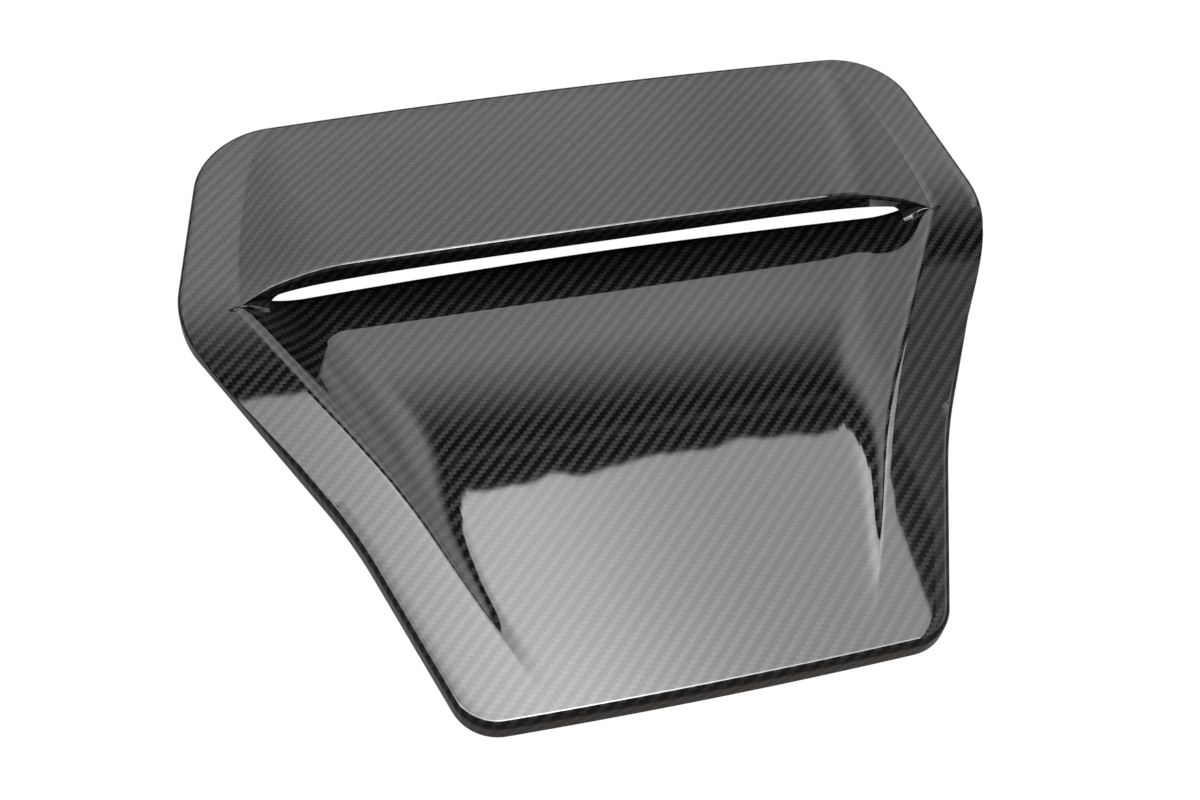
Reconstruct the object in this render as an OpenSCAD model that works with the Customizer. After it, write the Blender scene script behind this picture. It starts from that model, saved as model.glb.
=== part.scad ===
// Bonnet scoop: one moulded laminate with a border flange, a sunken ramp and a raised roof.
// X runs across the scoop, Y runs to the rear and Z is up. Z = 0 is the surface that it stands on, which
// the end of the ramp touches first. Heights in the functions below count from the foot of the rim.

/* [Overall] */
// Width over the two widest corners of the rim
overall_w = 460; // [420:5:500]
// Length from the front edge to the rear edge
overall_l = 383.5; // [350:0.5:410]
// Thickness of the laminate
wall_t = 2; // [1.6:0.1:2.6]
// Height of the turned-down rim under the flange
rim_h = 12; // [9:0.5:16]
// Outer radius where the flange rolls over into the rim
edge_r = 4; // [3:0.25:6]
// How far the rim leans inwards from its foot to its top
rim_lean = 0.6; // [0:0.1:1.5]

/* [Outline] */
// Width between the side lines at the front edge
front_w = 234; // [200:1:250]
// Width between the side lines at the rear edge
rear_w = 418; // [380:1:440]
// Width between the side lines at the knees, where the sides change direction
knee_w = 313; // [300:1:330]
// Distance from the front edge back to the knees
knee_back = 111; // [95:1:125]
// Distance from the rear edge forward to the widest corners
shoulder_fwd = 132; // [120:0.5:145]
// Radius of the two front corners
front_corner_r = 24; // [14:1:30]
// Radius of the hollow bend at each knee
knee_r = 280; // [200:10:500]
// Radius of the two widest corners
shoulder_r = 65; // [50:1:75]
// Radius of the two rear corners
rear_corner_r = 46; // [35:1:55]
// How far the ends of the rear edge fall back from a straight line
rear_bow = 4.8; // [0:0.2:8]
// How far the ends of the front edge fall back from a straight line
front_bow = 2; // [0:0.25:4]

/* [Ramp] */
// Width of the flange along the long sides of the ramp, square to the side of the scoop
flange_w = 30.7; // [26:0.1:38]
// Width of the flange at the sides of the front of the ramp
flange_front_w = 36; // [30:0.5:40]
// Depth of the ramp under the flange where it reaches the slot
ramp_depth = 14; // [10:0.5:20]
// Distance from the front edge back to where the ramp leaves the flange
ramp_start = 27; // [20:1:40]
// Length of the soft bend at the front end of the ramp
ramp_bend = 44; // [20:2:50]
// Width of each side wall at the slot, from the crease to the floor
wall_run = 42; // [34:1:48]
// Width of each side wall at the front of the ramp
wall_run_min = 11; // [6:1:16]
// Distance from the front edge back to where the side walls begin to widen
wall_start = 47; // [35:1:60]
// Length over which the side walls reach their full width
wall_grow = 130; // [100:5:200]
// Share of the wall width that rounds over at the crease
wall_shoulder = 0.2; // [0.1:0.02:0.3]

/* [Roof] */
// Height of the roof above the flange at the lip
roof_rise = 16; // [12:0.5:20]
// How much lower the roof is at its sides than in the middle, apart from the side slopes
roof_crown = 1.6; // [0:0.1:3]
// Angle of the straight slope from each side of the roof down to the flange
roof_side_angle = 17; // [12:0.5:24]
// Width of the flange beside the rear end of the roof
roof_flange_w = 34.5; // [28:0.5:40]
// How late the side creases of the roof turn inwards on their way to the rear
roof_side_power = 1.7; // [1:0.1:2.5]
// Height over which the roof rounds into its side slopes
roof_side_bend = 4; // [1:0.5:6]
// Distance from the rear edge forward to where the roof leaves the flange
roof_start = 7; // [6:0.5:12]
// Length of the soft bend where the roof leaves the flange
roof_bend = 6; // [2:0.5:8]

/* [Lip and slot] */
// Distance from the rear edge forward to the middle of the lip
lip_fwd = 123; // [115:0.5:132]
// How far the ends of the lip sweep forward
lip_sweep = 7; // [4:0.5:10]
// Width of the lip that stays straight across
lip_straight_w = 250; // [200:5:280]
// How late the ends of the lip turn forward
lip_sweep_power = 6; // [3:0.5:9]
// Radius on the top edge of the lip
lip_r = 2.8; // [2.4:0.1:5]
// Height of the lower edge of the lip above the flange
lip_low = 4.5; // [3:0.25:7]
// Width of the slot at the lip
slot_w = 352; // [320:2:360]
// How much wider the slot is at the ramp, at each end
slot_flare = 6; // [2:0.5:8]
// Radius of the fillet at the foot of the closed lip ends
web_r = 6.5; // [4:0.5:8]
// How far the ramp runs on under the lip in the middle
overhang = 7.4; // [5:0.2:10]
// How far the hidden end of the ramp sweeps forward at the slot ends
overhang_sweep = 4; // [1:0.2:5]

/* [Hidden] */

// Colour of the clear-coated twill
shell_colour = [0.2, 0.2, 0.21];

// Numbers of steps along the side of the rim: front corner, front line, knee, long line, shoulder,
// rear line and rear corner
front_steps = 5;
low_steps = 4;
knee_steps = 5;
long_steps = 8;
shoulder_steps = 6;
upper_steps = 6;
rear_steps = 8;
// Shoulder step at which the line of the slot meets the rim
slot_step = 4;

// Numbers of steps across each half: floor, and flange
floor_steps = 8;
flange_steps = 2;
// Shares of the wall width at which the wall has its steps, from the floor up to the crease
wall_shares = [0.86, 0.72, 0.6, 0.5, 0.38, 0.27, 0.18, 0.11, 0.05, 0];
// Which of those steps, counted from the floor, is the end of the slot
slot_share_step = 4;
// Steps round the lip edge, up the fillet of the closed ends, along the hidden end of the ramp and
// round the rim edge
lip_steps = 3;
web_steps = 3;
tongue_steps = 3;
edge_steps = 3;

// Main places along Y
front_y = -overall_l / 2;
rear_y = overall_l / 2;
knee_y = front_y + knee_back;
shoulder_y = rear_y - shoulder_fwd;
lip_y = rear_y - lip_fwd;
ramp_y = front_y + ramp_start;
roof_y = rear_y - roof_start;
edge_in = edge_r + rim_lean;

// Smooth step over an edge: 0 below -k, v above k, and a parabola between
function soft(v, k) = v >= k ? v : v <= -k ? 0 : pow(v + k, 2) / (4 * k);
function clamp01(v) = max(0, min(1, v));
function mix(a, b, f) = a + (b - a) * f;
function unit(v) = v / norm(v);

// Centre of the arc that rounds corner b between points a and c
function half_angle(a, b, c) = acos(unit(a - b) * unit(c - b)) / 2;
function arc_centre(a, b, c, r) = b + unit(unit(a - b) + unit(c - b)) * r / sin(half_angle(a, b, c));
function tangent_end(b, to, r, half) = b + unit(to - b) * r / tan(half);

// Points of the arc with their outward normals, where side is 1 on an outer bend and -1 on a hollow one
function corner(a, b, c, r, steps, side) =
    let (half = half_angle(a, b, c), m = arc_centre(a, b, c, r),
         s = tangent_end(b, a, r, half) - m, e = tangent_end(b, c, r, half) - m,
         from = atan2(s[1], s[0]), turn = atan2(s[0] * e[1] - s[1] * e[0], s * e))
    [for (i = [0 : steps]) let (w = from + turn * i / steps, d = [cos(w), sin(w)]) [m + r * d, side * d]];

// Points strictly between two path entries on a straight line
function between(p, q, steps) = [for (i = [1 : steps - 1]) [mix(p[0], q[0], i / steps), p[1]]];
function last(list) = list[len(list) - 1];

// The corner point at the shoulder stands out just enough for its arc to reach the overall width
far_front = [0, front_y];
front_pt = [front_w / 2, front_y];
knee_pt = [knee_w / 2, knee_y];
rear_pt = [rear_w / 2, rear_y];
far_rear = [0, rear_y];
shoulder_guess = [overall_w / 2, shoulder_y];
shoulder_reach = arc_centre(knee_pt, shoulder_guess, rear_pt, shoulder_r)[0] + shoulder_r;
shoulder_pt = [overall_w - shoulder_reach, shoulder_y];

// Right-hand side of the rim from the front edge to the rear edge, at the foot of the rim
front_arc = corner(far_front, front_pt, knee_pt, front_corner_r, front_steps, 1);
knee_arc = corner(front_pt, knee_pt, shoulder_pt, knee_r, knee_steps, -1);
shoulder_arc = corner(knee_pt, shoulder_pt, rear_pt, shoulder_r, shoulder_steps, 1);
rear_arc = corner(shoulder_pt, rear_pt, far_rear, rear_corner_r, rear_steps, 1);
side = concat(
    front_arc, between(last(front_arc), knee_arc[0], low_steps),
    knee_arc, between(last(knee_arc), shoulder_arc[0], long_steps),
    shoulder_arc, between(last(shoulder_arc), rear_arc[0], upper_steps),
    rear_arc);
slot_row = front_steps + low_steps + knee_steps + long_steps + slot_step;
rear_row = len(side) - 1;

// Point of the side moved inwards by d
function side_in(i, d) = side[i][0] - d * side[i][1];
function half_w(i) = side_in(i, edge_in)[0];
function side_y(i) = side_in(i, edge_in)[1];

// The crease between flange and ramp runs inside the two side lines by the width of the flange
function line_x(p, q, y) = p[0] + (q[0] - p[0]) * (y - p[1]) / (q[1] - p[1]);
function inset_x(p, q) = norm(q - p) / (q[1] - p[1]);
function flange_at(y) = mix(flange_w, flange_front_w, (knee_y - y) / (knee_y - ramp_y));
function low_crease(y) = line_x(front_pt, knee_pt, y) - flange_at(y) * inset_x(front_pt, knee_pt);
function long_crease(y) = line_x(knee_pt, shoulder_pt, y) - flange_w * inset_x(knee_pt, shoulder_pt);
crease_blend = 3;
function crease_x(y) = low_crease(y) + soft(long_crease(y) - low_crease(y), crease_blend);

// Ends of the lip and of the slot
lip_end_y = lip_y - lip_sweep;
lip_end_x = crease_x(lip_end_y);
slot_share = wall_shares[slot_share_step - 1];
slot_half_lip = slot_w / 2;
slot_half_ramp = slot_half_lip + slot_flare;
function lip_turn(x) = clamp01((abs(x) - lip_straight_w / 2) / (lip_end_x - lip_straight_w / 2));
function lip_line(x) = lip_y - lip_sweep * pow(lip_turn(x), lip_sweep_power);

// Wall width, floor edge and depth of the ramp along Y
function ease(f) = f * f * (3 - 2 * f);
function wall_w(y) =
    mix(wall_run_min, wall_run, ease(clamp01((y - front_y - wall_start) / wall_grow)));
function foot_x(y) = crease_x(y) - wall_w(y);
function ramp_drop(y) = ramp_depth * soft(y - ramp_y, ramp_bend / 2) / (lip_y - ramp_y);
function wall_curve(u) =
    u < wall_shoulder ? u * u / wall_shoulder : 1 - pow(1 - u, 2) / (1 - wall_shoulder);
function ramp_z(x, y) = rim_h - ramp_drop(y) * wall_curve(clamp01((crease_x(y) - abs(x)) / wall_w(y)));

// The side creases of the roof run from the ends of the lip to the rear edge
function rear_share_at(y) = clamp01((y - lip_end_y) / (rear_y - lip_end_y));
function roof_edge(y) =
    mix(lip_end_x, rear_w / 2 - roof_flange_w, pow(rear_share_at(y), roof_side_power));

// Roof height: the lower one of the long slope and the side slope, rounded where they meet
roof_blend = 0.4;
roof_inset = roof_blend / tan(roof_side_angle);
function roof_along(x, y) = soft(roof_y - y, roof_bend) / (roof_y - lip_line(x));
function roof_top(x, y) = (roof_rise - roof_crown * pow(x / lip_end_x, 2)) * roof_along(x, y);
function roof_side(x, y) = (roof_edge(y) - roof_inset - abs(x)) * tan(roof_side_angle);
function roof_z(x, y) =
    let (top = roof_top(x, y))
    rim_h + soft(top - soft(top - roof_side(x, y), roof_side_bend), roof_blend);

// Columns across one half: floor, wall and flange
wall_steps = len(wall_shares);
slot_col = floor_steps + slot_share_step;
end_col = floor_steps + wall_steps;
edge_col = end_col + flange_steps;
function wall_share(a) = a <= floor_steps ? 1 : wall_shares[a - floor_steps - 1];

// Across the ramp at height y along the scoop, with the rim edge at half width h
function ramp_x(a, y, h) =
    a <= floor_steps ? foot_x(y) * a / floor_steps
    : a <= end_col ? crease_x(y) - wall_w(y) * wall_share(a)
    : mix(crease_x(y), h, (a - end_col) / flange_steps);

// Across the lip, where the column at the slot end stands at the slot width
slot_end_x = crease_x(lip_end_y) - wall_w(lip_end_y) * slot_share;
function lip_x(a) =
    a <= slot_col ? ramp_x(a, lip_end_y, 0) * slot_half_lip / slot_end_x
    : a <= end_col ? mix(slot_half_lip, lip_end_x, (slot_share - wall_share(a)) / slot_share)
    : ramp_x(a, lip_end_y, half_w(slot_row));
function foot_lip_x(a) =
    a <= slot_col ? ramp_x(a, lip_end_y, 0) * slot_half_ramp / slot_end_x
    : a <= end_col ? mix(slot_half_ramp, lip_end_x, (slot_share - wall_share(a)) / slot_share)
    : lip_x(a);

// Heights at the lip: sharp top corner, lower edge in the slot and foot of the closed ends. The two
// shares keep a fillet and a round from taking more than their part of a low lip, and the powers set how
// late the lower edge and the ramp's end turn towards the slot ends.
fillet_share = 0.55;
round_share = 0.5;
lip_low_power = 6;
ramp_end_power = 1.6;
function lip_top(a) = roof_z(lip_x(a), lip_line(lip_x(a)));
function web_foot(a) = ramp_z(foot_lip_x(a), lip_line(foot_lip_x(a)) - web_r);
function web_fillet(a) = min(web_r, fillet_share * (lip_top(a) - web_foot(a)));
function slot_top(a) = mix(rim_h + lip_low, web_foot(slot_col) + web_fillet(slot_col),
                           pow(lip_x(a) / slot_half_lip, lip_low_power));
function lip_bottom(a) = a < slot_col ? slot_top(a) : web_foot(a) + web_fillet(a);
function lip_round(a) = min(lip_r, round_share * (lip_top(a) - lip_bottom(a)));

// Line on which the ramp meets the foot of the closed ends, carried on across the ramp
function seam_y(a) =
    a >= end_col ? mix(lip_end_y, side_y(slot_row), (a - end_col) / flange_steps)
    : a >= slot_col ? lip_line(foot_lip_x(a)) - web_fillet(a)
    : lip_line(foot_lip_x(a)) - web_fillet(slot_col);
function ramp_end_y(a) =
    lip_y + overhang - overhang_sweep * pow(foot_lip_x(a) / slot_half_ramp, ramp_end_power);

// Vertical thickness that keeps the laminate equally thick on a slope
slope_step = 0.5;
function thick(dzdx, dzdy) = wall_t * sqrt(1 + dzdx * dzdx + dzdy * dzdy);
function rise(from, to) = (to - from) / (2 * slope_step);
function ramp_thick(x, y) =
    thick(rise(ramp_z(x - slope_step, y), ramp_z(x + slope_step, y)),
          rise(ramp_z(x, y - slope_step), ramp_z(x, y + slope_step)));
function roof_thick(x, y) =
    thick(rise(roof_z(x - slope_step, y), roof_z(x + slope_step, y)),
          rise(roof_z(x, y - slope_step), roof_z(x, y + slope_step)));

// The end of the ramp reaches below the foot of the rim, so the rim stands this much off the ground
lift = max(0, ramp_drop(ramp_end_y(0)) + ramp_thick(0, ramp_end_y(0)) - rim_h);

// Soft bow of the front and rear edges, spread over the whole plan, and the final height
function bow_share(y, edge) = pow(clamp01(y / edge), 2);
function placed(p) = [p[0],
    p[1] - rear_bow * bow_share(p[1], rear_y) * pow(2 * p[0] / rear_w, 2)
         + front_bow * bow_share(p[1], front_y) * pow(2 * p[0] / front_w, 2),
    p[2] + lift];

// Outer and inner point of one place, where s is -1 on the left half and 1 on the right half
function ramp_pt(s, x, y, inner) = [s * x, y, ramp_z(x, y) - (inner ? ramp_thick(x, y) : 0)];
function roof_pt(s, x, y, inner) = [s * x, y, roof_z(x, y) - (inner ? roof_thick(x, y) : 0)];

// Row i of the front part, which takes its place from the rim. Only the last rows before the lip take on
// the columns of the lip.
row_power = 6;
function front_share(i) = (side_y(i) - side_y(0)) / (side_y(slot_row) - side_y(0));
function front_row_y(i, a) = mix(side_y(0), seam_y(a), front_share(i));
function front_pt_at(i, j, inner) =
    let (a = abs(j), y = front_row_y(i, a), f = pow(front_share(i), row_power))
    ramp_pt(sign(j), mix(ramp_x(a, y, half_w(i)), foot_lip_x(a), f), y, inner);

// Row i of the rear part
function roof_slope(a) = atan(lip_top(a) - roof_z(lip_x(a), lip_line(lip_x(a)) + 1));
function roof_front_y(a) =
    a >= end_col ? seam_y(a) : lip_line(lip_x(a)) + lip_round(a) * (1 + sin(roof_slope(a)));
function rear_share(i) = (side_y(i) - side_y(slot_row)) / (side_y(rear_row) - side_y(slot_row));
function rear_edge_x(i) = min(roof_edge(side_y(i)), half_w(i) - edge_in);
function rear_x(i, a) =
    a <= end_col ? lip_x(a) * rear_edge_x(i) / lip_end_x
    : mix(rear_edge_x(i), half_w(i), (a - end_col) / flange_steps);
function rear_pt_at(i, j, inner) =
    let (a = abs(j), y = mix(roof_front_y(a), side_y(rear_row), rear_share(i)))
    roof_pt(sign(j), rear_x(i, a), y, inner);

// Round of the lip and its straight drop, for ring k counted from the roof down. Where the lip is lower
// than the laminate is thick, the inner skin steps down by no more than drop_min from ring to ring.
inner_r_min = 0.2;
drop_min = 0.05;
function edge_radius(a, inner) = inner ? max(lip_round(a) - wall_t, inner_r_min) : lip_round(a);
function round_mid_z(a, inner) =
    let (w = roof_slope(a), reach = edge_radius(a, inner) + (inner ? wall_t : 0))
    lip_top(a) - reach / cos(w) - reach * tan(w);
function lip_pt_at(k, j, inner) =
    let (a = abs(j), w = roof_slope(a), y0 = lip_line(lip_x(a)) + (inner ? wall_t : 0),
         r = edge_radius(a, inner), mz = round_mid_z(a, inner),
         turn = 90 - w + (90 + w) * k / lip_steps)
    [sign(j) * lip_x(a),
     k > lip_steps ? y0 : y0 + r + r * cos(turn),
     k > lip_steps ? min(lip_bottom(a), mz - drop_min) : mz + r * sin(turn)];

// Hollow fillet of the closed ends, for ring k counted down from the straight drop. Their free edges
// rise straight from the ramp and lean inwards above it.
web_lean_power = 3;
function web_pt_at(k, j, inner) =
    let (a = abs(j), f = k / web_steps, r = web_fillet(a), t = inner ? wall_t : 0, turn = -90 * f,
         x = mix(foot_lip_x(a), lip_x(a), pow(1 - f, web_lean_power)),
         z = min(web_foot(a) + r + (r + t) * sin(turn), round_mid_z(a, inner) - drop_min * (k + 1)))
    [sign(j) * x, lip_line(x) - r + (r + t) * cos(turn), z];

// Hidden end of the ramp under the lip, drawn in at its sides so that it stands clear of the closed ends
tongue_draw = 0.998;
tongue_power = 8;
function tongue_pt_at(k, j, inner) =
    let (a = abs(j), x = foot_lip_x(a) * mix(1, tongue_draw, pow(a / slot_col, tongue_power)))
    ramp_pt(sign(j), x, mix(seam_y(a), ramp_end_y(a), k / tongue_steps), inner);

// Rim ring k at a point of the boundary with its outward normal, from the flange down to the foot
function rim_pt(p, n, k, inner) =
    let (turn = 90 * k / edge_steps, r = inner ? edge_r - wall_t : edge_r,
         d = k > edge_steps ? (inner ? wall_t : 0) : edge_in - r * sin(turn),
         z = k > edge_steps ? 0 : rim_h - edge_r + r * cos(turn))
    [p[0] - n[0] * d, p[1] - n[1] * d, z];

// Boundary of the plan: front edge, right side, rear edge and left side
cols = 2 * edge_col;
boundary = concat(
    [for (j = [-edge_col : edge_col - 1])
        [[sign(j) * ramp_x(abs(j), side_y(0), half_w(0)), front_y], [0, -1]]],
    [for (i = [0 : rear_row - 1]) side[i]],
    [for (j = [edge_col : -1 : 1 - edge_col])
        [[sign(j) * rear_x(rear_row, abs(j)), rear_y], [0, 1]]],
    [for (i = [rear_row : -1 : 1]) [[-side[i][0][0], side[i][0][1]], [-side[i][1][0], side[i][1][1]]]]);
loop_len = len(boundary);

// All points of one skin, in the order that the numbering below expects
rim_rings = edge_steps + 1;
lip_rings = lip_steps + 2;
function skin(inner) = [
    for (i = [0 : slot_row], j = [-edge_col : edge_col]) placed(front_pt_at(i, j, inner)),
    for (i = [slot_row + 1 : rear_row], j = [-edge_col : edge_col]) placed(rear_pt_at(i, j, inner)),
    for (k = [0 : lip_rings - 1], j = [-end_col : end_col]) placed(lip_pt_at(k, j, inner)),
    for (k = [1 : web_steps - 1], j = [-end_col : end_col]) placed(web_pt_at(k, j, inner)),
    for (k = [1 : tongue_steps], j = [-slot_col : slot_col]) placed(tongue_pt_at(k, j, inner)),
    for (k = [1 : rim_rings], b = boundary) placed(rim_pt(b[0], b[1], k, inner))];

// Numbering of the points of a skin
grid_len = cols + 1;
lip_len = 2 * end_col + 1;
tongue_len = 2 * slot_col + 1;
lip_from = (rear_row + 1) * grid_len;
tongue_from = lip_from + (lip_rings + web_steps - 1) * lip_len;
rim_from = tongue_from + tongue_steps * tongue_len;
skin_len = rim_from + rim_rings * loop_len;
function grid_id(i, j) = i * grid_len + j + edge_col;
// Level 0 is the roof side of the lip, and the last level is the seam on the ramp
levels = lip_rings + web_steps - 1;
function lip_id(k, j) =
    abs(j) >= end_col || k >= levels ? grid_id(slot_row, j) : lip_from + k * lip_len + j + end_col;
function tongue_id(k, j) =
    k == 0 ? grid_id(slot_row, j) : tongue_from + (k - 1) * tongue_len + j + slot_col;
function roof_id(i, j) = i == slot_row ? lip_id(0, j) : grid_id(i, j);
// The first ring of the rim is the border of the grid itself
function border_id(p) =
    p < cols ? grid_id(0, p - edge_col)
    : p < cols + rear_row ? grid_id(p - cols, edge_col)
    : p < 2 * cols + rear_row ? grid_id(rear_row, edge_col - (p - cols - rear_row))
    : grid_id(rear_row - (p - 2 * cols - rear_row), -edge_col);
function rim_id(k, p) = let (q = p % loop_len) k == 0 ? border_id(q) : rim_from + (k - 1) * loop_len + q;

// Two triangles for each patch, without those that have shrunk to a line
function tidy(f) = [for (t = f) if (t[0] != t[1] && t[1] != t[2] && t[2] != t[0]) t];
function patch(a, b, c, d) = [[a, b, c], [a, c, d]];
outer_faces = tidy([
    for (i = [0 : slot_row - 1], j = [-edge_col : edge_col - 1])
        each patch(grid_id(i, j), grid_id(i + 1, j), grid_id(i + 1, j + 1), grid_id(i, j + 1)),
    for (i = [slot_row : rear_row - 1], j = [-edge_col : edge_col - 1])
        each patch(roof_id(i, j), roof_id(i + 1, j), roof_id(i + 1, j + 1), roof_id(i, j + 1)),
    for (k = [0 : levels - 1], j = [-end_col : end_col - 1])
        if (k < lip_rings - 1 || j >= slot_col || j < -slot_col)
            each patch(lip_id(k + 1, j), lip_id(k, j), lip_id(k, j + 1), lip_id(k + 1, j + 1)),
    for (k = [0 : tongue_steps - 1], j = [-slot_col : slot_col - 1])
        each patch(tongue_id(k, j), tongue_id(k + 1, j), tongue_id(k + 1, j + 1), tongue_id(k, j + 1)),
    for (k = [0 : rim_rings - 1], p = [0 : loop_len - 1])
        each patch(rim_id(k, p), rim_id(k, p + 1), rim_id(k + 1, p + 1), rim_id(k + 1, p))]);
inner_faces = [for (f = outer_faces) [f[2], f[1], f[0]] + [skin_len, skin_len, skin_len]];

// Cut edges of the laminate: the foot of the rim and the edge of the slot
slot_loop = concat(
    [for (j = [-slot_col : slot_col]) tongue_id(tongue_steps, j)],
    [for (k = [tongue_steps - 1 : -1 : 1]) tongue_id(k, slot_col)],
    [for (k = [levels : -1 : lip_rings]) lip_id(k, slot_col)],
    [for (j = [slot_col : -1 : -slot_col]) lip_id(lip_rings - 1, j)],
    [for (k = [lip_rings : levels]) lip_id(k, -slot_col)],
    [for (k = [1 : tongue_steps - 1]) tongue_id(k, -slot_col)]);
foot_loop = [for (p = [loop_len : -1 : 1]) rim_id(rim_rings, p)];
function cut_edge(loop) = [for (i = [0 : len(loop) - 1])
    let (a = loop[i], b = loop[(i + 1) % len(loop)]) each patch(b, a, a + skin_len, b + skin_len)];

module scoop_shell() {
    color(shell_colour)
        polyhedron(points = concat(skin(false), skin(true)),
                   faces = concat(outer_faces, inner_faces, cut_edge(slot_loop), cut_edge(foot_loop)),
                   convexity = 8);
}

scoop_shell();
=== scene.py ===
import math

import bpy
import numpy as np
from mathutils import Matrix, Vector


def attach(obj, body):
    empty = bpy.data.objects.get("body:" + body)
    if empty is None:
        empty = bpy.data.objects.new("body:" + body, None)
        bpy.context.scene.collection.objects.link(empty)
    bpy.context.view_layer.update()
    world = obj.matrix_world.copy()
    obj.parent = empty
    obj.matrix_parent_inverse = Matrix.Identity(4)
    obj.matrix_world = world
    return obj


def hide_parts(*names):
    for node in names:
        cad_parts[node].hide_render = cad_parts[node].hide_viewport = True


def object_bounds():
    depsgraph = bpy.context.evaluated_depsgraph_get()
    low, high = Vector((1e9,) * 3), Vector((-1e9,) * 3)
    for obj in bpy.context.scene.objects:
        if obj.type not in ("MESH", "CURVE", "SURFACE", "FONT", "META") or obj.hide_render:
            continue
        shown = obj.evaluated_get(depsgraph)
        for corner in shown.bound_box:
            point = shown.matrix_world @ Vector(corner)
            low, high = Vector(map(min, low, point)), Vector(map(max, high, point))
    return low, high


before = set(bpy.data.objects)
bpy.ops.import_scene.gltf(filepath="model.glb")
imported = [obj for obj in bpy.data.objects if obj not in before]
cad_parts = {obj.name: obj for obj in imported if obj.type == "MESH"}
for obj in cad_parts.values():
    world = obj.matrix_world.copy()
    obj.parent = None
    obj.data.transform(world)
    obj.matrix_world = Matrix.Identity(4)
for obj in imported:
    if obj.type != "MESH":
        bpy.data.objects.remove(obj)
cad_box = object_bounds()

# Sizes of the part in millimetres, the same values as in the part's source, apart from TONGUE_DRAW.
# That one makes the end of the ramp wider behind each closed slot end, where a thin gap would show.
OVERALL_W, OVERALL_L = 460.0, 383.5
WALL_T, RIM_H, EDGE_R, RIM_LEAN = 2.0, 12.0, 4.0, 0.6
FRONT_W, REAR_W, KNEE_W, KNEE_BACK, SHOULDER_FWD = 234.0, 418.0, 313.0, 111.0, 132.0
FRONT_CORNER_R, KNEE_R, SHOULDER_R, REAR_CORNER_R = 24.0, 280.0, 65.0, 46.0
REAR_BOW, FRONT_BOW = 4.8, 2.0
FLANGE_W, FLANGE_FRONT_W = 30.7, 36.0
RAMP_DEPTH, RAMP_START, RAMP_BEND = 14.0, 27.0, 44.0
WALL_RUN, WALL_RUN_MIN, WALL_SHOULDER = 42.0, 11.0, 0.2
WALL_START, WALL_GROW = 47.0, 130.0
ROOF_RISE, ROOF_CROWN, ROOF_START, ROOF_BEND = 16.0, 1.6, 7.0, 6.0
ROOF_SIDE_SLOPE, ROOF_FLANGE_W, ROOF_SIDE_POWER, ROOF_SIDE_BEND = math.tan(math.radians(17)), 34.5, 1.7, 4.0
LIP_FWD, LIP_SWEEP, LIP_STRAIGHT_W, LIP_SWEEP_POWER, LIP_R, LIP_LOW = 123.0, 7.0, 250.0, 6.0, 2.8, 4.5
SLOT_W, SLOT_FLARE, WEB_R, WEB_LEAN_POWER, OVERHANG, OVERHANG_SWEEP = 352.0, 6.0, 6.5, 3, 7.4, 4.0
CREASE_BLEND, ROOF_BLEND = 3.0, 0.4
FILLET_SHARE, ROUND_SHARE, LIP_LOW_POWER, RAMP_END_POWER = 0.55, 0.5, 6, 1.6
TONGUE_DRAW, TONGUE_POWER, ROW_POWER, INNER_R_MIN, DROP_MIN = 1.008, 8, 6, 0.2, 0.05
TOW = 2.085

# Finer steps than in the solid
FRONT_STEPS, LOW_STEPS, KNEE_STEPS, LONG_STEPS, SHOULDER_STEPS, SLOT_STEP = 15, 12, 15, 40, 24, 16
UPPER_STEPS, REAR_STEPS = 24, 24
FLOOR_STEPS, FLANGE_STEPS = 30, 6
LIP_STEPS, WEB_STEPS, TONGUE_STEPS, EDGE_STEPS = 8, 8, 6, 8
WALL_SHARES = np.concatenate([
    np.linspace(1, 0.5, 13)[1:], np.linspace(0.5, 0.24, 8)[1:], np.linspace(0.24, 0, 13)[1:]])
SLOT_SHARE_STEP = 12

FRONT_Y, REAR_Y = -OVERALL_L / 2, OVERALL_L / 2
KNEE_Y = FRONT_Y + KNEE_BACK
SHOULDER_Y = REAR_Y - SHOULDER_FWD
LIP_Y = REAR_Y - LIP_FWD
RAMP_Y = FRONT_Y + RAMP_START
ROOF_Y = REAR_Y - ROOF_START
EDGE_IN = EDGE_R + RIM_LEAN


def soft(v, k):
    v = np.asarray(v, float)
    return np.where(v >= k, v, np.where(v <= -k, 0.0, (v + k) ** 2 / (4 * k)))


def clamp01(v):
    return np.clip(v, 0.0, 1.0)


def mix(a, b, f):
    return a + (b - a) * f


def unit(v):
    return v / np.linalg.norm(v)


def corner(a, b, c, r, steps, side):
    u, w = unit(a - b), unit(c - b)
    half = math.acos(float(u @ w)) / 2
    m = b + unit(u + w) * r / math.sin(half)
    s, e = b + u * r / math.tan(half) - m, b + w * r / math.tan(half) - m
    start, turn = math.atan2(s[1], s[0]), math.atan2(s[0] * e[1] - s[1] * e[0], float(s @ e))
    out = []
    for i in range(steps + 1):
        q = start + turn * i / steps
        d = np.array([math.cos(q), math.sin(q)])
        out.append((m + r * d, side * d))
    return out, m


def between(p, q, steps):
    return [(mix(p[0], q[0], i / steps), p[1]) for i in range(1, steps)]


front_pt, knee_pt = np.array([FRONT_W / 2, FRONT_Y]), np.array([KNEE_W / 2, KNEE_Y])
rear_pt, guess = np.array([REAR_W / 2, REAR_Y]), np.array([OVERALL_W / 2, SHOULDER_Y])
reach = corner(knee_pt, guess, rear_pt, SHOULDER_R, 1, 1)[1][0] + SHOULDER_R
shoulder_pt = np.array([OVERALL_W - reach, SHOULDER_Y])
front_arc = corner(np.array([0, FRONT_Y]), front_pt, knee_pt, FRONT_CORNER_R, FRONT_STEPS, 1)[0]
knee_arc = corner(front_pt, knee_pt, shoulder_pt, KNEE_R, KNEE_STEPS, -1)[0]
shoulder_arc = corner(knee_pt, shoulder_pt, rear_pt, SHOULDER_R, SHOULDER_STEPS, 1)[0]
rear_arc = corner(shoulder_pt, rear_pt, np.array([0, REAR_Y]), REAR_CORNER_R, REAR_STEPS, 1)[0]
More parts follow.
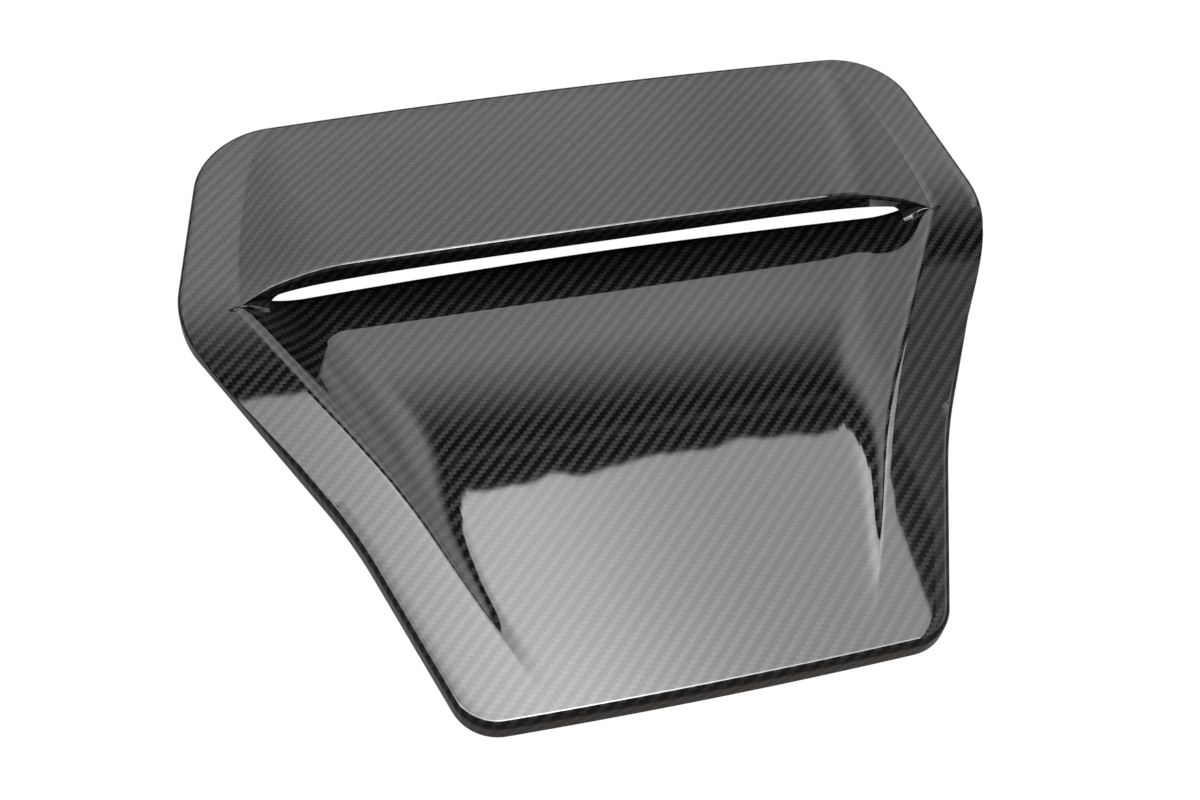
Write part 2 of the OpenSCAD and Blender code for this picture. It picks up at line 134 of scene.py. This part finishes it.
side = (front_arc + between(front_arc[-1], knee_arc[0], LOW_STEPS)
        + knee_arc + between(knee_arc[-1], shoulder_arc[0], LONG_STEPS)
        + shoulder_arc + between(shoulder_arc[-1], rear_arc[0], UPPER_STEPS) + rear_arc)
SLOT_ROW = FRONT_STEPS + LOW_STEPS + KNEE_STEPS + LONG_STEPS + SLOT_STEP
REAR_ROW = len(side) - 1
half_w = np.array([(p - EDGE_IN * n)[0] for p, n in side])
side_y = np.array([(p - EDGE_IN * n)[1] for p, n in side])


def line_x(p, q, y):
    return p[0] + (q[0] - p[0]) * (y - p[1]) / (q[1] - p[1])


def inset_x(p, q):
    return np.linalg.norm(q - p) / (q[1] - p[1])


lip_end_y = LIP_Y - LIP_SWEEP


def crease_x(y):
    flange = mix(FLANGE_W, FLANGE_FRONT_W, (KNEE_Y - y) / (KNEE_Y - RAMP_Y))
    low = line_x(front_pt, knee_pt, y) - flange * inset_x(front_pt, knee_pt)
    long = line_x(knee_pt, shoulder_pt, y) - FLANGE_W * inset_x(knee_pt, shoulder_pt)
    return low + soft(long - low, CREASE_BLEND)


lip_end_x = float(crease_x(lip_end_y))
slot_share = WALL_SHARES[SLOT_SHARE_STEP - 1]
slot_half_lip = SLOT_W / 2
slot_half_ramp = slot_half_lip + SLOT_FLARE


def lip_line(x):
    turn = clamp01((abs(x) - LIP_STRAIGHT_W / 2) / (lip_end_x - LIP_STRAIGHT_W / 2))
    return LIP_Y - LIP_SWEEP * turn ** LIP_SWEEP_POWER


def wall_w(y):
    f = clamp01((y - FRONT_Y - WALL_START) / WALL_GROW)
    return mix(WALL_RUN_MIN, WALL_RUN, f * f * (3 - 2 * f))


def ramp_drop(y):
    return RAMP_DEPTH * soft(y - RAMP_Y, RAMP_BEND / 2) / (LIP_Y - RAMP_Y)


def ramp_z(x, y):
    u = clamp01((crease_x(y) - abs(x)) / wall_w(y))
    curve = np.where(u < WALL_SHOULDER, u * u / WALL_SHOULDER, 1 - (1 - u) ** 2 / (1 - WALL_SHOULDER))
    return RIM_H - ramp_drop(y) * curve


def roof_edge(y):
    """Crease between a side slope of the roof and the flange."""
    back = clamp01((y - lip_end_y) / (REAR_Y - lip_end_y))
    return mix(lip_end_x, REAR_W / 2 - ROOF_FLANGE_W, back ** ROOF_SIDE_POWER)


def roof_z(x, y):
    """The lower one of the long slope and the side slope, rounded where they meet."""
    along = soft(ROOF_Y - y, ROOF_BEND) / (ROOF_Y - lip_line(x))
    top = (ROOF_RISE - ROOF_CROWN * (x / lip_end_x) ** 2) * along
    fall = (roof_edge(y) - abs(x)) * ROOF_SIDE_SLOPE - ROOF_BLEND
    return RIM_H + soft(top - soft(top - fall, ROOF_SIDE_BEND), ROOF_BLEND)


SLOT_COL = FLOOR_STEPS + SLOT_SHARE_STEP
END_COL = FLOOR_STEPS + len(WALL_SHARES)
EDGE_COL = END_COL + FLANGE_STEPS
col = np.arange(EDGE_COL + 1)
share = np.concatenate([np.ones(FLOOR_STEPS + 1), WALL_SHARES, np.zeros(FLANGE_STEPS)])


def ramp_x(a, y, h):
    return np.where(
        a <= FLOOR_STEPS, (crease_x(y) - wall_w(y)) * a / FLOOR_STEPS,
        np.where(a <= END_COL, crease_x(y) - wall_w(y) * share[a],
                 mix(crease_x(y), h, (a - END_COL) / FLANGE_STEPS)))


slot_end_x = crease_x(lip_end_y) - wall_w(lip_end_y) * slot_share


def lip_columns(half, outer):
    return np.where(
        col <= SLOT_COL, ramp_x(col, lip_end_y, 0) * half / slot_end_x,
        np.where(col <= END_COL, mix(half, lip_end_x, (slot_share - share) / slot_share), outer))


lip_x = lip_columns(slot_half_lip, ramp_x(col, lip_end_y, half_w[SLOT_ROW]))
foot_lip_x = lip_columns(slot_half_ramp, lip_x)
lip_top = roof_z(lip_x, lip_line(lip_x))
web_foot = ramp_z(foot_lip_x, lip_line(foot_lip_x) - WEB_R)
web_fillet = np.minimum(WEB_R, FILLET_SHARE * (lip_top - web_foot))
slot_top = mix(RIM_H + LIP_LOW, web_foot[SLOT_COL] + web_fillet[SLOT_COL],
               np.minimum(lip_x / slot_half_lip, 1) ** LIP_LOW_POWER)
lip_bottom = np.where(col < SLOT_COL, slot_top, web_foot + web_fillet)
lip_round = np.minimum(LIP_R, ROUND_SHARE * (lip_top - lip_bottom))
seam_y = np.where(
    col >= END_COL, mix(lip_end_y, side_y[SLOT_ROW], (col - END_COL) / FLANGE_STEPS),
    np.where(col >= SLOT_COL, lip_line(foot_lip_x) - web_fillet, lip_line(foot_lip_x) - web_fillet[SLOT_COL]))
ramp_end_y = LIP_Y + OVERHANG - OVERHANG_SWEEP * (foot_lip_x / slot_half_ramp) ** RAMP_END_POWER


def thick(z, x, y):
    h = 0.5
    dx, dy = (z(x + h, y) - z(x - h, y)) / (2 * h), (z(x, y + h) - z(x, y - h)) / (2 * h)
    return WALL_T * np.sqrt(1 + dx * dx + dy * dy)


LIFT = max(0.0, float(ramp_drop(ramp_end_y[0]) + thick(ramp_z, 0.0, ramp_end_y[0]) - RIM_H))

# Length of cloth across and along the surface, so that the twill keeps its size on the slopes
gx, gy = np.arange(0, 231.0), np.arange(-193.0, 194.0)
GX, GY = np.meshgrid(gx, gy, indexing="ij")


def stretch(z, axis):
    slope = np.gradient(z, axis=axis)
    return np.cumsum(np.sqrt(1 + slope ** 2) - 1, axis=axis)


# It lies straight across the ramp, so only the roof adds length across.
ramp_grid, roof_grid = ramp_z(GX, np.minimum(GY, LIP_Y + 8)), roof_z(GX, np.maximum(GY, lip_end_y))
extra = {"ramp_s": np.zeros_like(GX), "roof_s": stretch(roof_grid, 0), "ramp_t": stretch(ramp_grid, 1)}
roof_t = stretch(roof_grid, 1)
extra["roof_t"] = roof_t - roof_t[:, -1:]
row = int(round(lip_end_y - gy[0]))
gap = -extra["roof_s"][-1, row]
fade = clamp01((REAR_Y - GY) / (REAR_Y - lip_end_y))
extra["roof_s"] += gap * fade * clamp01(GX / lip_end_x) ** 4


def lookup(name, x, y):
    t = extra[name]
    fx, fy = np.clip(abs(x), 0, len(gx) - 1.001), np.clip(y - gy[0], 0, len(gy) - 1.001)
    i, j = fx.astype(int), fy.astype(int)
    u, v = fx - i, fy - j
    return (t[i, j] * (1 - u) * (1 - v) + t[i + 1, j] * u * (1 - v)
            + t[i, j + 1] * (1 - u) * v + t[i + 1, j + 1] * u * v)


def cloth(kind, sgn, x, y):
    x, y = np.broadcast_arrays(np.asarray(x, float), np.asarray(y, float))
    return np.stack([sgn * (x + lookup(kind + "_s", x, y)), y + lookup(kind + "_t", x, y)], -1)


J = np.arange(-EDGE_COL, EDGE_COL + 1)
A, SG = abs(J), np.sign(J)


roof_slope = np.arctan(lip_top - roof_z(lip_x, lip_line(lip_x) + 1))


def edge_round(a, inner):
    """Radius of the lip edge, its offset from the lip line and the height of its middle."""
    t, w = WALL_T if inner else 0.0, roof_slope[a]
    r = np.maximum(lip_round[a] - WALL_T, INNER_R_MIN) if inner else lip_round[a]
    return r, t, lip_top[a] - (t + r) / np.cos(w) - (t + r) * np.tan(w)


def lip_pt(k, j, inner):
    a, sgn = abs(j), np.sign(j)
    x, w = lip_x[a], roof_slope[a]
    r, t, mz = edge_round(a, inner)
    y0 = lip_line(x) + t
    turn = math.pi / 2 - w + (math.pi / 2 + w) * k / LIP_STEPS
    y = y0 + 0 * x if k > LIP_STEPS else y0 + r + r * np.cos(turn)
    z = np.minimum(lip_bottom[a], mz - DROP_MIN) if k > LIP_STEPS else mz + r * np.sin(turn)
    return np.stack([sgn * x, y, z], -1)


def web_pt(k, j, inner):
    a, sgn, f = abs(j), np.sign(j), k / WEB_STEPS
    r, t, turn = web_fillet[a], WALL_T if inner else 0.0, -math.pi / 2 * f
    x = mix(foot_lip_x[a], lip_x[a], (1 - f) ** WEB_LEAN_POWER)
    y = lip_line(x) - r + (r + t) * math.cos(turn)
    low = edge_round(a, inner)[2] - DROP_MIN * (k + 1)
    return np.stack([sgn * x, y, np.minimum(web_foot[a] + r + (r + t) * math.sin(turn), low)], -1)


def rear_x(i):
    edge = min(float(roof_edge(side_y[i])), half_w[i] - EDGE_IN)
    on_flange = mix(edge, half_w[i], (col - END_COL) / FLANGE_STEPS)
    return np.where(col <= END_COL, lip_x * edge / lip_end_x, on_flange)


cols = 2 * EDGE_COL
boundary = [((SG[q] * ramp_x(A, side_y[0], half_w[0])[q], FRONT_Y), (0, -1)) for q in range(cols)]
boundary += [(tuple(p), tuple(n)) for p, n in side[:REAR_ROW]]
top_x = rear_x(REAR_ROW)
boundary += [((np.sign(j) * top_x[abs(j)], REAR_Y), (0, 1)) for j in range(EDGE_COL, -EDGE_COL, -1)]
boundary += [((-p[0], p[1]), (-n[0], n[1])) for p, n in side[REAR_ROW:0:-1]]
B = np.array([b[0] for b in boundary], float)
BN = np.array([b[1] for b in boundary], float)
LOOP = len(boundary)
RIM_RINGS, LIP_RINGS = EDGE_STEPS + 1, LIP_STEPS + 2
LEVELS = LIP_RINGS + WEB_STEPS - 1
JL, JT = np.arange(-END_COL, END_COL + 1), np.arange(-SLOT_COL, SLOT_COL + 1)


def skin(inner):
    pts, uv = [], []
    for i in range(SLOT_ROW + 1):
        f = (side_y[i] - side_y[0]) / (side_y[SLOT_ROW] - side_y[0])
        y = mix(side_y[0], seam_y, f)
        x = mix(ramp_x(col, y, half_w[i]), foot_lip_x, f ** ROW_POWER)
        x, y = x[A], y[A]
        z = ramp_z(x, y) - (thick(ramp_z, x, y) if inner else 0)
        pts.append(np.stack([SG * x, y, z], -1))
        uv.append(cloth("ramp", SG, x, y))
    roof_front = np.where(col >= END_COL, seam_y, lip_line(lip_x) + lip_round * (1 + np.sin(roof_slope)))
    for i in range(SLOT_ROW + 1, REAR_ROW + 1):
        f = (side_y[i] - side_y[SLOT_ROW]) / (side_y[REAR_ROW] - side_y[SLOT_ROW])
        x, y = rear_x(i)[A], mix(roof_front, side_y[REAR_ROW], f)[A]
        z = roof_z(x, y) - (thick(roof_z, x, y) if inner else 0)
        pts.append(np.stack([SG * x, y, z], -1))
        uv.append(cloth("roof", SG, x, y))
    rings = [lip_pt(k, JL, inner) for k in range(LIP_RINGS)]
    rings += [web_pt(k, JL, inner) for k in range(1, WEB_STEPS)]
    at = cloth("roof", np.sign(JL), lip_x[abs(JL)], rings[0][:, 1])
    for k, ring in enumerate(rings):
        if k:
            at = at - np.stack([0 * JL, np.linalg.norm(ring - rings[k - 1], axis=1)], -1)
        pts.append(ring)
        uv.append(at)
    for k in range(1, TONGUE_STEPS + 1):
        a, sgn = abs(JT), np.sign(JT)
        x = foot_lip_x[a] * mix(1, TONGUE_DRAW, (a / SLOT_COL) ** TONGUE_POWER)
        y = mix(seam_y[a], ramp_end_y[a], k / TONGUE_STEPS)
        pts.append(np.stack([sgn * x, y, ramp_z(x, y) - (thick(ramp_z, x, y) if inner else 0)], -1))
        uv.append(cloth("ramp", sgn, x, y))
    r = EDGE_R - WALL_T if inner else EDGE_R
    for k in range(1, RIM_RINGS + 1):
        turn = math.pi / 2 * k / EDGE_STEPS
        d = (WALL_T if inner else 0.0) if k > EDGE_STEPS else EDGE_IN - r * math.sin(turn)
        z = 0.0 if k > EDGE_STEPS else RIM_H - EDGE_R + r * math.cos(turn)
        arc = EDGE_R * math.pi / 2 * min(k, EDGE_STEPS) / EDGE_STEPS
        arc += RIM_H - EDGE_R if k > EDGE_STEPS else 0
        pts.append(np.column_stack([B - BN * d, np.full(LOOP, z)]))
        base = B - BN * EDGE_IN
        s0 = np.where(base[:, 1] < lip_end_y, lookup("ramp_s", base[:, 0], base[:, 1]),
                      lookup("roof_s", base[:, 0], base[:, 1]))
        uv.append(base + BN * arc + np.stack([np.sign(base[:, 0]) * s0, 0 * s0], -1))
    p, uv = np.vstack(pts), np.vstack(uv)
    bow = (-REAR_BOW * clamp01(p[:, 1] / REAR_Y) ** 2 * (2 * p[:, 0] / REAR_W) ** 2
           + FRONT_BOW * clamp01(p[:, 1] / FRONT_Y) ** 2 * (2 * p[:, 0] / FRONT_W) ** 2)
    p[:, 1] += bow
    p[:, 2] += LIFT
    return p, uv


GRID, LIP_LEN, TONGUE_LEN = cols + 1, 2 * END_COL + 1, 2 * SLOT_COL + 1
LIP_FROM = (REAR_ROW + 1) * GRID
TONGUE_FROM = LIP_FROM + (LIP_RINGS + WEB_STEPS - 1) * LIP_LEN
RIM_FROM = TONGUE_FROM + TONGUE_STEPS * TONGUE_LEN


def grid_id(i, j):
    return i * GRID + j + EDGE_COL


def lip_id(k, j):
    return grid_id(SLOT_ROW, j) if abs(j) >= END_COL or k >= LEVELS else LIP_FROM + k * LIP_LEN + j + END_COL


def tongue_id(k, j):
    return grid_id(SLOT_ROW, j) if k == 0 else TONGUE_FROM + (k - 1) * TONGUE_LEN + j + SLOT_COL


def roof_id(i, j):
    return lip_id(0, j) if i == SLOT_ROW else grid_id(i, j)


def rim_id(k, p):
    q = p % LOOP
    if k:
        return RIM_FROM + (k - 1) * LOOP + q
    if q < cols:
        return grid_id(0, q - EDGE_COL)
    if q < cols + REAR_ROW:
        return grid_id(q - cols, EDGE_COL)
    if q < 2 * cols + REAR_ROW:
        return grid_id(REAR_ROW, EDGE_COL - (q - cols - REAR_ROW))
    return grid_id(REAR_ROW - (q - 2 * cols - REAR_ROW), -EDGE_COL)


def skin_faces():
    f = []
    for i in range(SLOT_ROW):
        for j in range(-EDGE_COL, EDGE_COL):
            f.append((grid_id(i, j), grid_id(i, j + 1), grid_id(i + 1, j + 1), grid_id(i + 1, j)))
    for i in range(SLOT_ROW, REAR_ROW):
        for j in range(-EDGE_COL, EDGE_COL):
            f.append((roof_id(i, j), roof_id(i, j + 1), roof_id(i + 1, j + 1), roof_id(i + 1, j)))
    for k in range(LEVELS):
        for j in range(-END_COL, END_COL):
            if k < LIP_RINGS - 1 or j >= SLOT_COL or j < -SLOT_COL:
                f.append((lip_id(k + 1, j), lip_id(k + 1, j + 1), lip_id(k, j + 1), lip_id(k, j)))
    for k in range(TONGUE_STEPS):
        for j in range(-SLOT_COL, SLOT_COL):
            f.append((tongue_id(k, j), tongue_id(k, j + 1), tongue_id(k + 1, j + 1), tongue_id(k + 1, j)))
    for k in range(RIM_RINGS):
        for p in range(LOOP):
            f.append((rim_id(k, p), rim_id(k + 1, p), rim_id(k + 1, p + 1), rim_id(k, p + 1)))
    return f


outer, outer_uv = skin(False)
inner, inner_uv = skin(True)
N = len(outer)
base_faces = skin_faces()
slot_loop = ([tongue_id(TONGUE_STEPS, j) for j in range(-SLOT_COL, SLOT_COL + 1)]
             + [tongue_id(k, SLOT_COL) for k in range(TONGUE_STEPS - 1, 0, -1)]
             + [lip_id(k, SLOT_COL) for k in range(LEVELS, LIP_RINGS - 1, -1)]
             + [lip_id(LIP_RINGS - 1, j) for j in range(SLOT_COL, -SLOT_COL - 1, -1)]
             + [lip_id(k, -SLOT_COL) for k in range(LIP_RINGS, LEVELS + 1)]
             + [tongue_id(k, -SLOT_COL) for k in range(1, TONGUE_STEPS)])
foot_loop = [rim_id(RIM_RINGS, p) for p in range(LOOP, 0, -1)]
faces = list(base_faces) + [tuple(v + N for v in reversed(q)) for q in base_faces]
for loop in (slot_loop, foot_loop):
    for i, a in enumerate(loop):
        b = loop[(i + 1) % len(loop)]
        faces.append((a, b, b + N, a + N))
clean = []
for q in faces:
    r = [v for n, v in enumerate(q) if v != q[n - 1]]
    if len(set(r)) == len(r) and len(r) > 2:
        clean.append(r)

verts = np.clip(np.vstack([outer, inner]) / 1000, cad_box[0], cad_box[1])
weave = np.vstack([outer_uv, inner_uv]) / TOW
used = sorted({v for q in clean for v in q})
remap = {v: n for n, v in enumerate(used)}
mesh = bpy.data.meshes.new("carbon_shell")
mesh.from_pydata([tuple(verts[v]) for v in used], [], [[remap[v] for v in q] for q in clean])
layer = mesh.uv_layers.new(name="weave")
order = np.array(used)[[loop.vertex_index for loop in mesh.loops]]
layer.data.foreach_set("uv", weave[order].astype(np.float32).ravel())
mesh.shade_smooth()
mesh.set_sharp_from_angle(angle=math.radians(38))
shell = bpy.data.objects.new("carbon_shell", mesh)
bpy.context.scene.collection.objects.link(shell)
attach(shell, "root")
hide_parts("scoop_shell")


class Nodes:
    """Short spelling for the nodes of one material."""

    def __init__(self, name):
        self.mat = bpy.data.materials.new(name)
        self.mat.use_nodes = True
        self.tree = self.mat.node_tree
        self.tree.nodes.clear()

    def add(self, kind, **values):
        node = self.tree.nodes.new(kind)
        for key, value in values.items():
            setattr(node, key, value)
        return node

    def put(self, socket, value):
        if isinstance(value, bpy.types.NodeSocket):
            self.tree.links.new(value, socket)
        else:
            socket.default_value = value

    def math(self, op, *args):
        node = self.add("ShaderNodeMath", operation=op)
        for n, value in enumerate(args):
            self.put(node.inputs[n], value)
        return node.outputs[0]

    def ramp(self, value, low, high, to_low=0.0, to_high=1.0, smooth=True):
        node = self.add("ShaderNodeMapRange", interpolation_type="SMOOTHSTEP" if smooth else "LINEAR")
        for key, v in (("Value", value), ("From Min", low), ("From Max", high),
                       ("To Min", to_low), ("To Max", to_high)):
            self.put(node.inputs[key], v)
        return node.outputs["Result"]

    def blend(self, factor, a, b):
        node = self.add("ShaderNodeMix", data_type="RGBA")
        self.put(node.inputs[0], factor)
        self.put(node.inputs[6], a)
        self.put(node.inputs[7], b)
        return node.outputs[2]


def carbon():
    m = Nodes("twill_carbon")
    uv = m.add("ShaderNodeUVMap", uv_map="weave").outputs[0]
    sep = m.add("ShaderNodeSeparateXYZ")
    m.put(sep.inputs[0], uv)
    s, t = sep.outputs[0], sep.outputs[1]
    i, j = m.math("FLOOR", s), m.math("FLOOR", t)
    fs, ft = m.math("FRACT", s), m.math("FRACT", t)
    # Place in the four-tow repeat: 0 and 1 are a cross tow on top, 2 and 3 a lengthwise one
    step = m.math("FLOORED_MODULO", m.math("SUBTRACT", i, j), 4.0)
    over = m.math("LESS_THAN", step, 1.5)
    second = m.math("FLOORED_MODULO", step, 2.0)
    along_s = m.math("DIVIDE", m.math("ADD", fs, second), 2.0)
    along_t = m.math("DIVIDE", m.math("ADD", ft, m.math("SUBTRACT", 1.0, second)), 2.0)
    pick = lambda a, b: m.math("ADD", m.math("MULTIPLY", over, a),
                               m.math("MULTIPLY", m.math("SUBTRACT", 1.0, over), b))
    across, along = pick(ft, fs), pick(along_s, along_t)
    dome = lambda v: m.math("SUBTRACT", 1.0, m.math("POWER", m.math("ABSOLUTE", m.math(
        "SUBTRACT", m.math("MULTIPLY", v, 2.0), 1.0)), 3.0))
    height = m.math("MULTIPLY", dome(across), dome(along))
    # Fine fibres along each tow, and slow changes from tow to tow
    fibre = m.add("ShaderNodeTexNoise", noise_dimensions="2D")
    place = m.add("ShaderNodeCombineXYZ")
    m.put(place.inputs[0], pick(m.math("MULTIPLY", s, 0.35), m.math("MULTIPLY", s, 9.0)))
    m.put(place.inputs[1], pick(m.math("MULTIPLY", t, 9.0), m.math("MULTIPLY", t, 0.35)))
    m.put(fibre.inputs["Vector"], place.outputs[0])
    m.put(fibre.inputs["Scale"], 1.0)
    m.put(fibre.inputs["Detail"], 1.0)
    tow = m.add("ShaderNodeTexNoise", noise_dimensions="2D")
    m.put(tow.inputs["Vector"], uv)
    m.put(tow.inputs["Scale"], 0.33)
    m.put(tow.inputs["Detail"], 2.0)
    # The twill pattern is the cloth's own. The darker cross tows and lighter lengthwise tows are painted
    # reflection, because carbon tows brighten by how they face the light. shade darkens the edges of each tow
    # as painted shade where it dips under the next.
    base = m.blend(over, (0.0012, 0.0012, 0.0012, 1), (0.0068, 0.0064, 0.0061, 1))
    shade = m.ramp(height, 0.0, 0.8, 0.6, 1.0)
    streak = m.ramp(fibre.outputs[0], 0.3, 0.7, 0.78, 1.2, False)
    drift = m.ramp(tow.outputs[0], 0.3, 0.7, 0.72, 1.25, False)
    gain = m.math("MULTIPLY", m.math("MULTIPLY", shade, streak), drift)
    colour = m.add("ShaderNodeVectorMath", operation="SCALE")
    m.put(colour.inputs[0], base)
    m.put(colour.inputs["Scale"], gain)
    bump = m.add("ShaderNodeBump")
    m.put(bump.inputs["Strength"], 0.5)
    m.put(bump.inputs["Distance"], 0.00012)
    m.put(bump.inputs["Height"], height)
    # Slow ripple of the clear coat
    ripple = m.add("ShaderNodeTexNoise", noise_dimensions="3D")
    m.put(ripple.inputs["Vector"], m.add("ShaderNodeTexCoord").outputs["Object"])
    m.put(ripple.inputs["Scale"], 38.0)
    m.put(ripple.inputs["Detail"], 1.5)
    coat = m.add("ShaderNodeBump")
    m.put(coat.inputs["Strength"], 0.25)
    m.put(coat.inputs["Distance"], 0.0001)
    m.put(coat.inputs["Height"], ripple.outputs[0])
    bsdf = m.add("ShaderNodeBsdfPrincipled")
    m.put(bsdf.inputs["Base Color"], colour.outputs[0])
    m.put(bsdf.inputs["Roughness"], 0.3)
    m.put(bsdf.inputs["IOR"], 1.5)
    sheen = m.ramp(m.math("MULTIPLY", over, shade), 0.0, 1.0, 0.01, 0.10, False)
    m.put(bsdf.inputs["Specular IOR Level"], sheen)
    m.put(bsdf.inputs["Coat Weight"], 1.0)
    m.put(bsdf.inputs["Coat Roughness"], 0.03)
    m.put(bsdf.inputs["Coat IOR"], 1.52)
    m.put(bsdf.inputs["Normal"], bump.outputs[0])
    m.put(bsdf.inputs["Coat Normal"], coat.outputs[0])
    out = m.add("ShaderNodeOutputMaterial")
    m.put(out.inputs[0], bsdf.outputs[0])
    return m.mat


shell.data.materials.append(carbon())


def panel(name, x0, x1, y0, y1, z, mat):
    """A level light panel overhead, which the camera itself doesn't see."""
    me = bpy.data.meshes.new(name)
    me.from_pydata([(x0, y0, z), (x1, y0, z), (x1, y1, z), (x0, y1, z)], [], [(3, 2, 1, 0)])
    o = bpy.data.objects.new(name, me)
    bpy.context.scene.collection.objects.link(o)
    me.materials.append(mat)
    o.visible_camera = False
    return o


def bell(m, v, middle, width):
    """Falls off smoothly on both sides of the middle."""
    off = m.math("DIVIDE", m.math("SUBTRACT", v, middle), width)
    return m.math("EXPONENT", m.math("MULTIPLY", m.math("MULTIPLY", off, off), -1.0))


def lamp(name):
    """A new material, with the place on the panel along X and Y in metres."""
    m = Nodes(name)
    sep = m.add("ShaderNodeSeparateXYZ")
    m.put(sep.inputs[0], m.add("ShaderNodeTexCoord").outputs["Object"])
    return m, sep.outputs[0], sep.outputs[1]


def shine(m, colour, strength):
    e = m.add("ShaderNodeEmission")
    m.put(e.inputs[0], colour)
    m.put(e.inputs[1], strength)
    m.put(m.add("ShaderNodeOutputMaterial").inputs[0], e.outputs[0])
    return m.mat


def softbox_front():
    """Brightest along a strip near the middle and at its front, with a slightly uneven rear edge."""
    m, x, y = lamp("softbox_front")
    fall = m.math("SUBTRACT", 1.05, m.math("MULTIPLY", y, 0.5))
    hot = m.math("MULTIPLY", m.math("MULTIPLY", bell(m, x, 0.05, 0.27), fall), 7.0)
    side_gain = m.ramp(x, -0.35, 0.1, 0.76, 0.9)
    front_gain = m.ramp(y, 0.06, -0.15, 1.0, 2.6)
    wave = m.add("ShaderNodeTexNoise", noise_dimensions="1D")
    m.put(wave.inputs["W"], x)
    m.put(wave.inputs["Scale"], 6.5)
    m.put(wave.inputs["Detail"], 1.0)
    edge = m.math("ADD", y, m.math("MULTIPLY", wave.outputs[0], 0.07))
    end = m.ramp(edge, 0.965, 0.978, 1.0, 0.0)
    gain = m.math("MULTIPLY", m.math("MULTIPLY", side_gain, front_gain), end)
    return shine(m, (0.985, 0.988, 1.0, 1), m.math("MULTIPLY", m.math("ADD", hot, 5.8), gain))


def softbox_rear():
    """Dimmer, fading in softly from its front edge and out towards its sides."""
    m, x, y = lamp("softbox_rear")
    start = m.ramp(m.math("ADD", y, m.ramp(x, -0.4, 0.0, 0.055, 0.0)), 1.05, 1.27)
    away = m.ramp(y, 1.35, 1.8, 2.5, 1.8)
    left = m.ramp(x, -1.6, -0.1, 0.84, 1.06)
    dip = m.math("MULTIPLY", bell(m, x, 0.95, 0.25), 0.22)
    right = m.math("SUBTRACT", m.ramp(x, 1.25, 2.4, 1.06, 0.7), dip)
    across = m.math("MULTIPLY", left, right)
    colour = m.blend(across, (1, 0.86, 0.76, 1), (1, 0.985, 0.975, 1))
    return shine(m, colour, m.math("MULTIPLY", m.math("MULTIPLY", start, away), across))


def side_wall():
    """A dim reflector beyond the right side of the softbox, brighter further out."""
    m, x, _ = lamp("side_wall")
    return shine(m, (1, 0.95, 0.92, 1), m.ramp(x, 1.0, 1.8, 0.7, 2.0))


PANEL_H = 1.5
panel("softbox_front", -1.7, 0.72, -0.35, 1.0, PANEL_H, softbox_front())
panel("softbox_rear", -4.0, 4.5, 1.02, 4.4, PANEL_H, softbox_rear())
panel("side_wall", 0.78, 3.5, -0.8, 1.0, PANEL_H, side_wall())

floor_mesh = bpy.data.meshes.new("floor")
floor_mesh.from_pydata([(-30, -30, 0), (30, -30, 0), (30, 30, 0), (-30, 30, 0)], [], [(0, 1, 2, 3)])
floor = bpy.data.objects.new("floor", floor_mesh)
bpy.context.scene.collection.objects.link(floor)
floor_mesh.materials.append(shine(Nodes("pale_floor"), (1, 1, 1, 1), 1.0))
floor.visible_glossy = False
floor.visible_diffuse = False

scene = bpy.context.scene
world = bpy.data.worlds.new("studio")
scene.world = world
world.use_nodes = True
world.node_tree.nodes["Background"].inputs[0].default_value = (1.0, 0.9, 0.85, 1)
world.node_tree.nodes["Background"].inputs[1].default_value = 0.24
scene.view_settings.view_transform = "Standard"

# Camera as in the photograph
cam = bpy.data.cameras.new("camera")
cam.sensor_width = 36
cam.lens = 36 * 1359.89 / 1200
cam.clip_start = 0.01
eye = bpy.data.objects.new("camera", cam)
scene.collection.objects.link(eye)
right = Vector((0.97374, -0.21914, 0.06169))
ahead = Vector((0.16471, 0.49107, -0.8554))
right = (right - ahead * right.dot(ahead) / ahead.length_squared).normalized()
ahead.normalize()
up = right.cross(ahead)
eye.matrix_world = Matrix.Translation((-0.13699, -0.37617, 0.62146)) @ Matrix(
    ((right.x, up.x, -ahead.x), (right.y, up.y, -ahead.y), (right.z, up.z, -ahead.z))).to_4x4()
scene.camera = eye
